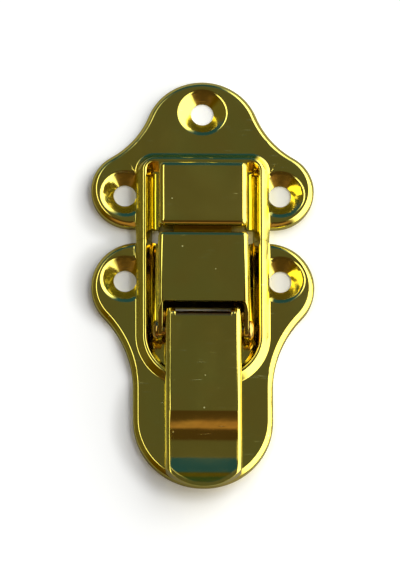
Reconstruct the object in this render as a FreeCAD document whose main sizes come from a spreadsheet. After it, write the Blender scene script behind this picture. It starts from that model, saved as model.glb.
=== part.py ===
import FreeCAD, Part

import math
import os
import re

import Sketcher
from FreeCAD import Vector

# Draw latch for a chest: two dished sheet steel plates that meet at the parting line of lid and box,
# a folded lever on the lower plate, and a draw plate that the lever pulls down behind a lip on the upper
# plate. X runs across the latch, +Y towards the lid, +Z out of the chest. The origin lies on the centre
# line, on the back plane that both plates seat on, about midway along the closed latch.

# Driving dimensions in millimetres and degrees. Heights are over the back plane.
SIZES = {
    # sheet and dished plates
    "sheet_thickness": 0.95,
    "plate_height": 2.5,
    "rim_chamfer": 1.0,
    "parting_line_y": 9.6,
    "parting_gap": 0.1,
    "lobe_reach": 10.1,
    # raised frame round the mechanism
    "frame_crest_height": 4.0,
    "frame_crest_width": 0.8,
    "frame_slope_deg": 43,
    "well_draft_deg": 24.7,
    "well_side_gap": 1.4,
    # pressed screw dimples
    "hole_radius": 2.55,
    "hole_reach": 2.5,
    "dimple_radius": 5.3,
    "dimple_slope_deg": 37,
    # keeper plate outline
    "crown_radius": 13.0,
    "crown_rise": 4.7,
    "crown_hole_rise": 10.3,
    "keeper_lobe_radius": 9.0,
    "keeper_lobe_gap": 3.5,
    "keeper_flank_radius": 20.0,
    "keeper_frame_corner_radius": 4.2,
    "keeper_hole_drop": 1.0,
    # hood and hook of the keeper plate
    "hood_inset": 0.2,
    "hood_gap": 1.4,
    "hood_length": 15.2,
    "hood_back_gap": 3.6,
    "hood_edge_radius": 1.3,
    "floor_notch_depth": 1.4,
    "lip_side_gap": 2.65,
    "lip_overlap": 2.4,
    "lip_clearance": 0.3,
    "tongue_gap": 0.4,
    "hook_bend_radius": 0.35,
    # base plate outline
    "waist_margin": 0.75,
    "base_lobe_radius": 10.5,
    "base_flank_radius": 25.0,
    "base_frame_reach": 15.9,
    "base_frame_corner_radius": 12.0,
    "base_hole_rise": 1.7,
    "foot_hole_drop": 4.15,
    "finger_overhang": 2.1,
    # pivots
    "pivot_to_parting": 18.7,
    "link_length": 3.1,
    "link_drop": 1.1,
    "pivot_cover": 3.3,
    "pin_radius": 1.2,
    "pin_running_clearance": 0.05,
    "pin_head_step": 0.4,
    "pin_head_thickness": 0.35,
    "pin_head_clearance": 0.1,
    "rivet_head_radius": 2.5,
    "rivet_head_thickness": 1.1,
    "rivet_head_chamfer": 0.7,
    "rivet_head_clearance": 0.1,
    "rivet_floor_gap": 0.35,
    # ears lanced up from the base plate's floor
    "ear_side_clearance": 0.35,
    "ear_top_clearance": 0.35,
    "ear_foot_length": 6.8,
    "ear_bend_radius": 0.5,
    # lever
    "lever_half_width": 8.5,
    "lever_bend_radius": 1.4,
    "lever_ear_radius": 2.3,
    "lever_link_step": 0.5,
    "lever_ear_top_reach": 0.6,
    "lever_web_setback": 0.8,
    "lever_notch_radius": 1.4,
    "lever_frame_gap": 0.5,
    "lever_flange_run": 7.3,
    "lever_flat_length": 22.6,
    "trough_plate_gap": 0.75,
    "trough_slope_deg": 40,
    "trough_brow_radius": 2.2,
    "trough_sole_radius": 6.0,
    "trough_flat_length": 2.1,
    "trough_corner_radius": 1.5,
    "lip_curl_radius": 9.0,
    "lip_slope_deg": 45,
    "tip_flatness": 2.0,
    "tip_corner_radius": 0.9,
    # draw plate
    "draw_side_gap": 0.65,
    "draw_lift": 0.4,
    "draw_bend_radius": 1.2,
    "draw_web_reach": 2.5,
    "draw_ear_step": 0.2,
    "draw_notch_radius": 0.5,
    "claw_reach": 0.5,
    "claw_gap": 0.3,
    # overrun of cutting tools past the surface that they cut, and the lift that keeps them off a flat
    "tool_overrun": 5.0,
    "tool_lift": 0.4,
}

# Heights over the back plane, from the floor up through the pivots to the webs.
DRAW_PIVOT_HEIGHT = "(sheet_thickness + rivet_floor_gap + rivet_head_radius)"
LEVER_PIVOT_HEIGHT = f"({DRAW_PIVOT_HEIGHT} + link_drop)"
LEVER_HEIGHT = f"({LEVER_PIVOT_HEIGHT} + pivot_cover)"
DRAW_HEIGHT = f"({LEVER_HEIGHT} + draw_lift)"
LEVER_FLANGE_HEIGHT = "(frame_crest_height + lever_frame_gap)"
TROUGH_HEIGHT = "(plate_height + trough_plate_gap + sheet_thickness)"
TROUGH_DEPTH = f"({LEVER_HEIGHT} - {TROUGH_HEIGHT})"
TONGUE_HEIGHT = "(sheet_thickness + tongue_gap)"
CLAW_BOTTOM_HEIGHT = f"({TONGUE_HEIGHT} + sheet_thickness + claw_gap)"
LIP_TOP_HEIGHT = f"({CLAW_BOTTOM_HEIGHT} + lip_overlap)"

# Radii about the pivots and round the finger tip.
EAR_TIP_RADIUS = "(pivot_cover - sheet_thickness - ear_top_clearance)"
PIN_HEAD_RADIUS = "(pin_radius + pin_head_step)"
LEVER_LINK_RADIUS = "(rivet_head_radius - lever_link_step)"
DRAW_EAR_RADIUS = "(rivet_head_radius - draw_ear_step)"
TIP_ARC_RADIUS = "(lever_half_width + tip_flatness)"

# Half widths, from the lever outwards.
LEVER_INNER = "(lever_half_width - sheet_thickness)"
EAR_OUTER = f"({LEVER_INNER} - ear_side_clearance)"
DRAW_INNER = "(lever_half_width + draw_side_gap)"
DRAW_HALF_WIDTH = f"({DRAW_INNER} + sheet_thickness)"
RIVET_HEAD_X = f"({DRAW_HALF_WIDTH} + rivet_head_clearance)"
RIVET_END_X = f"({RIVET_HEAD_X} + rivet_head_thickness)"
HOOD_HALF_WIDTH = f"({DRAW_HALF_WIDTH} - hood_inset)"
LIP_HALF_WIDTH = f"({DRAW_INNER} - lip_side_gap)"
FRAME_RISE = "(frame_crest_height - plate_height)"
FRAME_RIB = f"({FRAME_RISE} * tan(frame_slope_deg) + frame_crest_width)"
WELL_HALF_WIDTH = f"({RIVET_END_X} + well_side_gap)"
WELL_DEPTH = "(frame_crest_height - sheet_thickness)"
WELL_WALL = "(sheet_thickness / cos(well_draft_deg))"
FLOOR_HALF_WIDTH = f"({WELL_HALF_WIDTH} - {WELL_DEPTH} * tan(well_draft_deg))"
FRAME_HALF_WIDTH = f"({WELL_HALF_WIDTH} + {FRAME_RIB})"
WAIST_HALF_WIDTH = f"({FRAME_HALF_WIDTH} + waist_margin)"
PLATE_HALF_WIDTH = f"({FRAME_HALF_WIDTH} + lobe_reach)"
HOLE_X = f"({FRAME_HALF_WIDTH} + hole_reach)"
KEEPER_LOBE_X = f"({PLATE_HALF_WIDTH} - keeper_lobe_radius)"
BASE_LOBE_X = f"({PLATE_HALF_WIDTH} - base_lobe_radius)"

# Places along the latch, from the parting line up over the keeper plate.
KEEPER_END_Y = "(parting_line_y + parting_gap / 2)"
CLAW_OUTER_Y = "(parting_line_y + claw_reach)"
CLAW_INNER_Y = f"({CLAW_OUTER_Y} - sheet_thickness)"
HOOD_FRONT_Y = f"({CLAW_OUTER_Y} + hood_gap)"
HOOD_BACK_Y = f"({HOOD_FRONT_Y} + hood_length)"
KEEPER_FLOOR_EDGE_Y = f"({HOOD_FRONT_Y} + floor_notch_depth)"
KEEPER_FRAME_END_Y = f"({HOOD_BACK_Y} + hood_back_gap)"
KEEPER_LOBE_Y = "(parting_line_y + keeper_lobe_gap + keeper_lobe_radius)"
KEEPER_HOLE_Y = f"({KEEPER_LOBE_Y} - keeper_hole_drop)"
CROWN_CENTRE_Y = f"({KEEPER_FRAME_END_Y} + crown_rise)"
CROWN_HOLE_Y = f"({KEEPER_FRAME_END_Y} + crown_hole_rise)"

# Places along the latch, from the parting line down over the base plate and the lever.
BASE_END_Y = "(parting_line_y - parting_gap / 2)"
BASE_LOBE_Y = f"({BASE_END_Y} - base_lobe_radius)"
BASE_HOLE_Y = f"({BASE_LOBE_Y} + base_hole_rise)"
LEVER_PIVOT_Y = "(parting_line_y - pivot_to_parting)"
DRAW_PIVOT_Y = f"({LEVER_PIVOT_Y} - link_length)"
DRAW_WEB_EDGE_Y = f"({LEVER_PIVOT_Y} + draw_web_reach)"
LEVER_EAR_TOP_Y = f"({LEVER_PIVOT_Y} + lever_ear_top_reach)"
LEVER_WEB_EDGE_Y = f"({LEVER_PIVOT_Y} - lever_web_setback)"
LEVER_FLANGE_STEP_Y = f"({DRAW_PIVOT_Y} - lever_flange_run)"
BASE_FRAME_END_Y = f"({LEVER_PIVOT_Y} - base_frame_reach)"
LEVER_FLAT_END_Y = f"({LEVER_PIVOT_Y} - lever_flat_length)"
BEND_SUM = "(trough_brow_radius + trough_sole_radius)"
BEND_DROP = f"({BEND_SUM} * (1 - cos(trough_slope_deg)))"
CURL_RISE = "(lip_curl_radius * (1 - cos(lip_slope_deg)))"
TROUGH_START_Y = (f"({LEVER_FLAT_END_Y} - {BEND_SUM} * sin(trough_slope_deg)"
                  f" - ({TROUGH_DEPTH} - {BEND_DROP}) / tan(trough_slope_deg))")
TROUGH_END_Y = f"({TROUGH_START_Y} - trough_flat_length)"
LIP_TOP_Y = (f"({TROUGH_END_Y} - lip_curl_radius * sin(lip_slope_deg)"
             f" - ({TROUGH_DEPTH} - {CURL_RISE}) / tan(lip_slope_deg))")
TIP_Y = f"({LIP_TOP_Y} - sheet_thickness)"
FOOT_CENTRE_Y = f"({TIP_Y} + finger_overhang + {WAIST_HALF_WIDTH})"
FOOT_HOLE_Y = f"({FOOT_CENTRE_Y} - foot_hole_drop)"

# Differences below which a length or a volume counts as nothing.
LENGTH_TOLERANCE = 1e-4
VOLUME_TOLERANCE = 1e-6

doc = FreeCAD.newDocument("chest_latch")
sizes = doc.addObject("Spreadsheet::Sheet", "sizes")
for row, (alias, size) in enumerate(SIZES.items(), start=1):
    sizes.set(f"A{row}", alias)
    sizes.set(f"B{row}", str(size))
    sizes.setAlias(f"B{row}", alias)
doc.recompute()


def bound(expression):
    """The expression with each size's alias as other objects of the document name it."""
    return re.sub(r"[a-z_]+", lambda word: f"sizes.{word[0]}" if word[0] in SIZES else word[0], expression)


def number(expression):
    """The value of an expression, which is a number already where a place is left free."""
    return float(sizes.evalExpression(expression)) if isinstance(expression, str) else expression


def shrink(radius, amount):
    """Expressions for a convex and a concave radius once an outline is moved inwards."""
    return f"({radius} - {amount})", f"({radius} + {amount})"


# Sketches. A path runs anticlockwise round its area through discs and sharp corners, and straight lines join
# what isn't tangent already. A place given as a number starts there and is left to the tangents.


def convex(x, y, radius):
    return (x, y, radius, 1)


def concave(x, y, radius):
    return (x, y, radius, -1)


def corner(x, y):
    return (x, y, None, 0)


def mirrored(path):
    """The path on the other side of the centre plane."""
    return [(f"-({x})", y, radius, side) for x, y, radius, side in reversed(path)]


def tangent_line(start, end):
    """Both ends of the straight line that leaves one disc and meets the next, none long where they touch."""
    (start_centre, start_radius), (end_centre, end_radius) = start, end
    span = end_centre - start_centre
    if abs(end_radius - start_radius) > span.Length + LENGTH_TOLERANCE:
        raise ValueError("a disc of the path lies inside the next one")
    slant = max(-1.0, min(1.0, (end_radius - start_radius) / span.Length))
    heading = math.atan2(span.y, span.x) - math.asin(slant)
    left = Vector(-math.sin(heading), math.cos(heading), 0)
    return start_centre - left * start_radius, end_centre - left * end_radius


def add_sketch(body, name, role, offset=None):
    """An empty sketch on one of the body's own origin planes, moved by expressions along the plane's axes."""
    plane = next(item for item in body.Origin.OriginFeatures if item.Role == role)
    sketch = body.newObject("Sketcher::SketchObject", name)
    sketch.AttachmentSupport = [(plane, "")]
    sketch.MapMode = "FlatFace"
    for axis, expression in (offset or {}).items():
        sketch.setExpression(f".AttachmentOffset.Base.{axis}", bound(expression))
    return sketch


def constrain(sketch, kind, *references, size=None):
    """Adds a constraint, and ties a dimension to its expression."""
    if size is None:
        sketch.addConstraint(Sketcher.Constraint(kind, *references))
        return
    index = sketch.addConstraint(Sketcher.Constraint(kind, *references, number(size)))
    sketch.setExpression(f"Constraints[{index}]", bound(size))


def locate(sketch, geometry, point, place):
    """Ties a point to the sketch's origin, apart from the coordinates that are left free."""
    for kind, coordinate in zip(("DistanceX", "DistanceY"), place):
        if isinstance(coordinate, str):
            constrain(sketch, kind, -1, 1, geometry, point, size=coordinate)


def draw_path(sketch, path):
    """Draws a closed path of discs and corners with tangent lines between them, fully constrained."""
    discs = [(Vector(number(x), number(y), 0), number(radius) * side if radius else 0.0)
             for x, y, radius, side in path]
    joints = [tangent_line(disc, discs[(i + 1) % len(discs)]) for i, disc in enumerate(discs)]
    ends = []
    for i, (x, y, radius, side) in enumerate(path):
        arrival, departure = joints[i - 1][1], joints[i][0]
        if radius:
            centre = discs[i][0]
            angles = [math.atan2(point.y - centre.y, point.x - centre.x) for point in (arrival, departure)]
            first, last = angles if side > 0 else reversed(angles)
            circle = Part.Circle(centre, Vector(0, 0, 1), abs(discs[i][1]))
            arc = sketch.addGeometry(Part.ArcOfCircle(circle, first, last), False)
            constrain(sketch, "Radius", arc, size=radius)
            locate(sketch, arc, 3, (x, y))
            ends.append(((arc, 1), (arc, 2)) if side > 0 else ((arc, 2), (arc, 1)))
        else:
            ends.append(None)
    lines = []
    for begin, end in joints:
        straight = begin.distanceToPoint(end) > LENGTH_TOLERANCE
        lines.append(sketch.addGeometry(Part.LineSegment(begin, end), False) if straight else None)
    for i, (x, y, radius, side) in enumerate(path):
        after = (i + 1) % len(path)
        if not radius:
            constrain(sketch, "Coincident", lines[i - 1], 2, lines[i], 1)
            locate(sketch, lines[i], 1, (x, y))
        elif lines[i] is None:
            constrain(sketch, "Tangent", *ends[i][1], *ends[after][0])
        else:
            constrain(sketch, "Tangent", *ends[i][1], lines[i], 1)
        if path[after][2] and lines[i] is not None:
            constrain(sketch, "Tangent", lines[i], 2, *ends[after][0])


def touching_centre(first, second, gaps):
    """Centre of a disc at the given distances from two others, on the right of the way between them."""
    start = Vector(number(first[0]), number(first[1]), 0)
    span = Vector(number(second[0]), number(second[1]), 0) - start
    near, far = gaps
    along = (near ** 2 - far ** 2 + span.Length ** 2) / (2 * span.Length)
    across = math.sqrt(near ** 2 - along ** 2)
    ahead = Vector(span).normalize()
    return start + ahead * along + Vector(ahead.y, -ahead.x, 0) * across


# Features. Each is set up on its body's tip, and its sizes are expressions.


def add_body(name):
    return doc.addObject("PartDesign::Body", name)


def add_feature(body, kind, name, profile, **expressions):
    """A feature made from a sketch, with its numeric properties tied to expressions."""
    feature = body.newObject(f"PartDesign::{kind}", name)
    feature.Profile = profile
    profile.Visibility = False
    for prop, expression in expressions.items():
        feature.setExpression(prop, bound(expression))
    doc.recompute()
    return feature


def pad(body, name, sketch, length, taper="0", midplane=False):
    feature = add_feature(body, "Pad", name, sketch, Length=length, TaperAngle=taper)
    feature.SideType = "Symmetric" if midplane else "One side"
    doc.recompute()
    return feature


def pocket(body, name, sketch, length, taper="0", midplane=False, upwards=False):
    """A cut that has to remove material, behind the sketch's plane or, upwards, in front of it."""
    before = body.Shape.Volume
    feature = add_feature(body, "Pocket", name, sketch, Length=length, TaperAngle=taper)
    feature.SideType = "Symmetric" if midplane else "One side"
    feature.Reversed = upwards
    doc.recompute()
    if not feature.Shape.Volume < before - VOLUME_TOLERANCE:
        raise RuntimeError(f"{name} removes nothing")
    return feature


def groove(body, name, sketch):
    """A turned cut about the sketch's vertical axis, which has to remove material."""
    before = body.Shape.Volume
    feature = add_feature(body, "Groove", name, sketch, Angle="360")
    feature.ReferenceAxis = (sketch, ["V_Axis"])
    doc.recompute()
    if not feature.Shape.Volume < before - VOLUME_TOLERANCE:
        raise RuntimeError(f"{name} removes nothing")
    return feature


def mirror(body, name, *originals):
    plane = next(item for item in body.Origin.OriginFeatures if item.Role == "YZ_Plane")
    feature = body.newObject("PartDesign::Mirrored", name)
    feature.Originals = list(originals)
    feature.MirrorPlane = (plane, [""])
    body.Tip = feature
    doc.recompute()
    return feature


def soften(body, kind, name, prop, size, chosen):
    """Fillets or chamfers the edges of the body's tip for which chosen(edge) holds."""
    base = body.Tip
    edges = [f"Edge{i}" for i, edge in enumerate(base.Shape.Edges, start=1) if chosen(edge)]
    if not edges:
        raise RuntimeError(f"{name} finds no edge")
    feature = body.newObject(f"PartDesign::{kind}", name)
    feature.Base = (base, edges)
    feature.setExpression(prop, bound(size))
    doc.recompute()
    return feature


def fillet(body, name, radius, chosen):
    return soften(body, "Fillet", name, "Radius", radius, chosen)


def chamfer(body, name, size, chosen):
    return soften(body, "Chamfer", name, "Size", size, chosen)


def level(edge, height):
    """Whether an edge lies level at a height."""
    box = edge.BoundBox
    return abs(box.ZMin - height) < LENGTH_TOLERANCE and abs(box.ZMax - height) < LENGTH_TOLERANCE


def upright(edge):
    box = edge.BoundBox
    return box.XLength < LENGTH_TOLERANCE and box.YLength < LENGTH_TOLERANCE


def combine(kind, name, *parts):
    """A fusion, or a cut of the second part from the first, of finished solids."""
    result = doc.addObject(f"Part::{kind}", name)
    if kind == "MultiFuse":
        result.Shapes = list(parts)
    else:
        result.Base, result.Tool = parts
    for part in parts:
        part.Visibility = False
    doc.recompute()
    return result


# Dished plates. Each is an outer form less a hollow, which is the same form moved inwards by the sheet.


def keeper_outline(inset):
    """Crown and two lobes, with concave flanks between them and a straight lower edge."""
    crown, _ = shrink("crown_radius", inset)
    lobe, _ = shrink("keeper_lobe_radius", inset)
    _, flank = shrink("keeper_flank_radius", inset)
    right = convex(KEEPER_LOBE_X, KEEPER_LOBE_Y, lobe)
    top = convex("0", CROWN_CENTRE_Y, crown)
    left = convex(f"-{KEEPER_LOBE_X}", KEEPER_LOBE_Y, lobe)
    gaps = (number(lobe) + number(flank), number(crown) + number(flank))
    centre = touching_centre(right, top, gaps)
    return [left, right, concave(centre.x, centre.y, flank), top, concave(-centre.x, centre.y, flank)]


def base_outline(inset):
    """Round foot, straight waist, and two lobes under a straight upper edge."""
    foot, _ = shrink(WAIST_HALF_WIDTH, inset)
    lobe, _ = shrink("base_lobe_radius", inset)
    _, flank = shrink("base_flank_radius", inset)
    flank_x = f"({WAIST_HALF_WIDTH} + base_flank_radius)"
    reach = number(lobe) + number(flank)
    flank_y = number(BASE_LOBE_Y) - math.sqrt(reach ** 2 - (number(flank_x) - number(BASE_LOBE_X)) ** 2)
    return [
        convex("0", FOOT_CENTRE_Y, foot),
        concave(flank_x, flank_y, flank),
        convex(BASE_LOBE_X, BASE_LOBE_Y, lobe),
        convex(f"-{BASE_LOBE_X}", BASE_LOBE_Y, lobe),
        concave(f"-{flank_x}", flank_y, flank),
    ]


def frame_path(half_width, end_y, corner_radius, open_y, side):
    """Outline of the raised frame, round at its closed end and run out past the parting line."""
    x = f"({half_width} - {corner_radius})"
    y = f"({end_y} - {corner_radius})" if side > 0 else f"({end_y} + {corner_radius})"
    rounded = [convex(x, y, corner_radius), convex(f"-{x}", y, corner_radius)]
    square = [corner(f"-({half_width})", open_y), corner(half_width, open_y)]
    return square + rounded if side > 0 else rounded[::-1] + square[::-1]


def add_dimple(body, name, x, y, lift):
    """Cuts a dimple's cone and hole from a form or, lifted by the sheet, the room for it from a hollow."""
    flat = f"(plate_height - {lift})"
    rim = f"(dimple_radius + {lift} * tan(dimple_slope_deg / 2))"
    seat = f"({flat} - ({rim} - hole_radius) * tan(dimple_slope_deg))"
    sketch = add_sketch(body, f"{name}_section", "XZ_Plane", {"x": x, "z": f"-({y})"})
    draw_path(sketch, [
        corner("0", "-tool_overrun"),
        corner("hole_radius", "-tool_overrun"),
        corner("hole_radius", seat),
        corner(rim, flat),
        corner(rim, "plate_height + tool_overrun"),
        corner("0", "plate_height + tool_overrun"),
    ])
    return groove(body, name, sketch)


def add_shell_layer(name, outline, dimples, frame_end_y, frame_corner_radius, open_y, side, lift):
    """One layer of a dished plate: its outer form at no lift, or its hollow at a lift of one sheet."""
    body = add_body(name)
    flat = f"(plate_height - {lift})"
    sketch = add_sketch(body, f"{name}_outline", "XY_Plane")
    draw_path(sketch, outline(lift))
    pad(body, f"{name}_blank", sketch, flat)
    if lift == "0":
        chamfer(body, f"{name}_rim", "rim_chamfer", lambda edge: level(edge, number(flat)))

    for dimple, (x, y) in dimples.items():
        seat = add_dimple(body, f"{name}_{dimple}_dimple", x, y, lift)
        if x != "0":
            mirror(body, f"{name}_{dimple}_dimple_pair", seat)

    knee = f"(plate_height - {lift} * tan(frame_slope_deg / 2))"
    outer = [f"({FRAME_HALF_WIDTH} - {lift})", f"({frame_end_y} - {side} * {lift})",
             f"({frame_corner_radius} - {lift})", open_y, side]
    sketch = add_sketch(body, f"{name}_frame_foot", "XY_Plane")
    draw_path(sketch, frame_path(*outer))
    pad(body, f"{name}_frame_wall", sketch, knee)
    sketch = add_sketch(body, f"{name}_frame_knee", "XY_Plane", {"z": knee})
    draw_path(sketch, frame_path(*outer))
    pad(body, f"{name}_frame_slope", sketch, f"frame_crest_height - {lift} - {knee}", "-frame_slope_deg")

    wall, depth = ("0", WELL_DEPTH) if lift == "0" else (WELL_WALL, "frame_crest_height + sheet_thickness")
    inner = [f"({WELL_HALF_WIDTH} + {wall})", f"({frame_end_y} - {side} * ({FRAME_RIB} - {wall}))",
             f"({frame_corner_radius} - {FRAME_RIB} + {wall})", open_y, side]
    sketch = add_sketch(body, f"{name}_well_crest", "XY_Plane", {"z": "frame_crest_height"})
    draw_path(sketch, frame_path(*inner))
    pocket(body, f"{name}_well", sketch, depth, "-well_draft_deg")
    return body


def rectangle(left, right, low, high):
    """A path with four sharp corners."""
    return [corner(left, low), corner(right, low), corner(right, high), corner(left, high)]


def add_block(body, name, path, height):
    sketch = add_sketch(body, f"{name}_plan", "XY_Plane")
    draw_path(sketch, path)
    return pad(body, name, sketch, height)


def cut_through(body, name, path):
    """Cuts the area of a plan right through the body."""
    sketch = add_sketch(body, f"{name}_plan", "XY_Plane")
    draw_path(sketch, path)
    return pocket(body, name, sketch, f"4 * {DRAW_HEIGHT}", midplane=True)


def add_hood_layer(name, lift):
    """The drawn hood and the plateau that joins its back to the frame, as a form or as its hollow."""
    half = f"({HOOD_HALF_WIDTH} - {lift})"
    front, back = f"({HOOD_FRONT_Y} + {lift})", f"({HOOD_BACK_Y} - {lift})"
    height = f"({DRAW_HEIGHT} - {lift})"
    knee = f"(plate_height - {lift} * tan(frame_slope_deg / 2))"
    rise = f"(frame_crest_height - {lift} - {knee})"
    crest_end = f"({KEEPER_FRAME_END_Y} - {lift} - {rise} * tan(frame_slope_deg))"
    body = add_body(name)
    add_block(body, f"{name}_box", rectangle(f"-{half}", half, front, back), height)
    if lift == "0":
        fillet(body, f"{name}_edges", "hood_edge_radius",
               lambda edge: level(edge, number(height)) or upright(edge))
    plateau = rectangle(f"-{half}", half, f"{back} - 2 * hood_edge_radius", crest_end)
    add_block(body, f"{name}_plateau", plateau, f"frame_crest_height - {lift}")
    return body


def make_keeper_plate():
    """Upper plate: crown, lobes, raised frame, hood, and the hook that holds the draw plate."""
    dimples = {"crown": ("0", CROWN_HOLE_Y), "lobe": (HOLE_X, KEEPER_HOLE_Y)}
    frame = (KEEPER_FRAME_END_Y, "keeper_frame_corner_radius", f"({KEEPER_END_Y} - tool_overrun)", 1)
    form = add_shell_layer("keeper_form", keeper_outline, dimples, *frame, "0")
    wide = f"({FRAME_HALF_WIDTH} + tool_overrun)"
    far = f"({KEEPER_END_Y} - 2 * tool_overrun)"
    cut_through(form, "keeper_parting_cut", rectangle(f"-{wide}", wide, far, KEEPER_END_Y))
    cut_through(form, "keeper_floor_notch",
                rectangle(f"-{FLOOR_HALF_WIDTH}", FLOOR_HALF_WIDTH, far, KEEPER_FLOOR_EDGE_Y))
    hollow = add_shell_layer("keeper_hollow", keeper_outline, dimples, *frame, "sheet_thickness")

    hood = add_hood_layer("hood_form", "0")
    join_height = f"({DRAW_HEIGHT} / 2)"
    sketch = add_sketch(hood, "hook_gap_plan", "XY_Plane")
    draw_path(sketch, rectangle(f"-{LIP_HALF_WIDTH}", LIP_HALF_WIDTH, f"{HOOD_FRONT_Y} - tool_overrun",
                                f"{HOOD_FRONT_Y} + sheet_thickness"))
    pocket(hood, "hook_gap", sketch, join_height, upwards=True)
    hood_hollow = add_hood_layer("hood_hollow", "sheet_thickness")

    outside = combine("MultiFuse", "keeper_outside", form, hood)
    inside = combine("MultiFuse", "keeper_inside", hollow, hood_hollow)
    shell = combine("Cut", "keeper_shell", outside, inside)
    return combine("MultiFuse", "keeper_plate", shell, make_hook(join_height))


def make_hook(join_height):
    """Sheet that folds forward from the hood's front wall into a tongue and up into the lip."""
    lip_y = f"({CLAW_INNER_Y} - lip_clearance)"
    tongue_top = f"({TONGUE_HEIGHT} + sheet_thickness)"
    bend_height = f"({tongue_top} + hook_bend_radius)"
    outer_bend = "(hook_bend_radius + sheet_thickness)"
    wall_bend_y, lip_bend_y = f"({HOOD_FRONT_Y} - hook_bend_radius)", f"({lip_y} + hook_bend_radius)"
    body = add_body("hook")
    sketch = add_sketch(body, "hook_section", "YZ_Plane")
    draw_path(sketch, [
        corner(f"{lip_y} - sheet_thickness", LIP_TOP_HEIGHT),
        convex(lip_bend_y, bend_height, outer_bend),
        convex(wall_bend_y, bend_height, outer_bend),
        corner(f"{HOOD_FRONT_Y} + sheet_thickness", join_height),
        corner(HOOD_FRONT_Y, join_height),
        concave(wall_bend_y, bend_height, "hook_bend_radius"),
        concave(lip_bend_y, bend_height, "hook_bend_radius"),
        corner(lip_y, LIP_TOP_HEIGHT),
    ])
    pad(body, "hook_fold", sketch, f"2 * {LIP_HALF_WIDTH}", midplane=True)
    return body


def make_base_plate():
    """Lower plate: round foot and lobes, raised frame, and the ears lanced up from its floor."""
    dimples = {"foot": ("0", FOOT_HOLE_Y), "lobe": (HOLE_X, BASE_HOLE_Y)}
    frame = (BASE_FRAME_END_Y, "base_frame_corner_radius", f"({BASE_END_Y} + tool_overrun)", -1)
    form = add_shell_layer("base_form", base_outline, dimples, *frame, "0")
    wide = f"({FRAME_HALF_WIDTH} + tool_overrun)"
    far = f"({BASE_END_Y} + 2 * tool_overrun)"
    cut_through(form, "base_parting_cut", rectangle(f"-{wide}", wide, BASE_END_Y, far))
    bend_x = f"({EAR_OUTER} + ear_bend_radius)"
    low, high = f"({LEVER_PIVOT_Y} - ear_foot_length / 2)", f"({LEVER_PIVOT_Y} + ear_foot_length / 2)"
    cut_through(form, "ear_window", rectangle(f"-{bend_x}", bend_x, low, high))
    hollow = add_shell_layer("base_hollow", base_outline, dimples, *frame, "sheet_thickness")
    shell = combine("Cut", "base_shell", form, hollow)
    return combine("MultiFuse", "base_plate", shell, make_ears())


def make_ears():
    """Both ears with the bends at their feet, their round tops and the holes for the lever's pin."""
    bend_x, bend_z = f"({EAR_OUTER} + ear_bend_radius)", "(sheet_thickness + ear_bend_radius)"
    foot_x = f"({bend_x} + sheet_thickness)"
    top = f"({LEVER_PIVOT_HEIGHT} + {EAR_TIP_RADIUS})"
    section = [
        corner(foot_x, "0"),
        corner(foot_x, "sheet_thickness"),
        concave(bend_x, bend_z, "ear_bend_radius"),
        corner(EAR_OUTER, top),
        corner(f"{EAR_OUTER} - sheet_thickness", top),
        convex(bend_x, bend_z, bend_z),
    ]
    body = add_body("ears")
    sketch = add_sketch(body, "ears_section", "XZ_Plane", {"z": f"-{LEVER_PIVOT_Y}"})
    draw_path(sketch, section)
    draw_path(sketch, mirrored(section))
    pad(body, "ears_fold", sketch, "ear_foot_length", midplane=True)

    low, high = f"({LEVER_PIVOT_Y} - ear_foot_length / 2)", f"({LEVER_PIVOT_Y} + ear_foot_length / 2)"
    sketch = add_sketch(body, "ears_profile", "YZ_Plane")
    draw_path(sketch, rectangle(f"{low} - tool_overrun", f"{high} + tool_overrun", "-tool_overrun",
                                f"{top} + tool_overrun"))
    draw_path(sketch, [
        corner(low, "-tool_lift"),
        corner(high, "-tool_lift"),
        corner(high, "sheet_thickness"),
        convex(LEVER_PIVOT_Y, LEVER_PIVOT_HEIGHT, EAR_TIP_RADIUS),
        corner(low, "sheet_thickness"),
    ])
    pocket(body, "ears_trim", sketch, f"4 * {foot_x}", midplane=True)
    bore(body, "ears_pin_hole", LEVER_PIVOT_Y, LEVER_PIVOT_HEIGHT, "pin_radius")
    return body


def bore(body, name, y, z, radius):
    """A round hole along X right through the body."""
    sketch = add_sketch(body, f"{name}_circle", "YZ_Plane")
    circle = Part.Circle(Vector(number(y), number(z), 0), Vector(0, 0, 1), number(radius))
    rim = sketch.addGeometry(circle, False)
    constrain(sketch, "Radius", rim, size=radius)
    locate(sketch, rim, 3, (y, z))
    return pocket(body, name, sketch, f"4 * {DRAW_HALF_WIDTH}", midplane=True)


def tip_plan(half_width, tip_y, arc_radius, corner_radius):
    """Straight sides that turn through small corners into the round finger tip."""
    centre_y = f"({tip_y} + {arc_radius})"
    reach = number(arc_radius) - number(corner_radius)
    corner_x = f"({half_width} - {corner_radius})"
    corner_y = number(centre_y) - math.sqrt(reach ** 2 - number(corner_x) ** 2)
    return [
        corner(half_width, "tool_overrun"),
        corner(f"-{half_width}", "tool_overrun"),
        convex(f"-{corner_x}", corner_y, corner_radius),
        convex("0", centre_y, arc_radius),
        convex(corner_x, corner_y, corner_radius),
    ]


def add_side_profile(name, path, width):
    """A body extruded across the latch from its side view, symmetric about the centre plane."""
    body = add_body(name)
    sketch = add_sketch(body, f"{name}_side", "YZ_Plane")
    draw_path(sketch, path)
    pad(body, f"{name}_width", sketch, width, midplane=True)
    return body


def add_plan(name, path, height):
    body = add_body(name)
    add_block(body, f"{name}_block", path, height)
    return body


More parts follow.
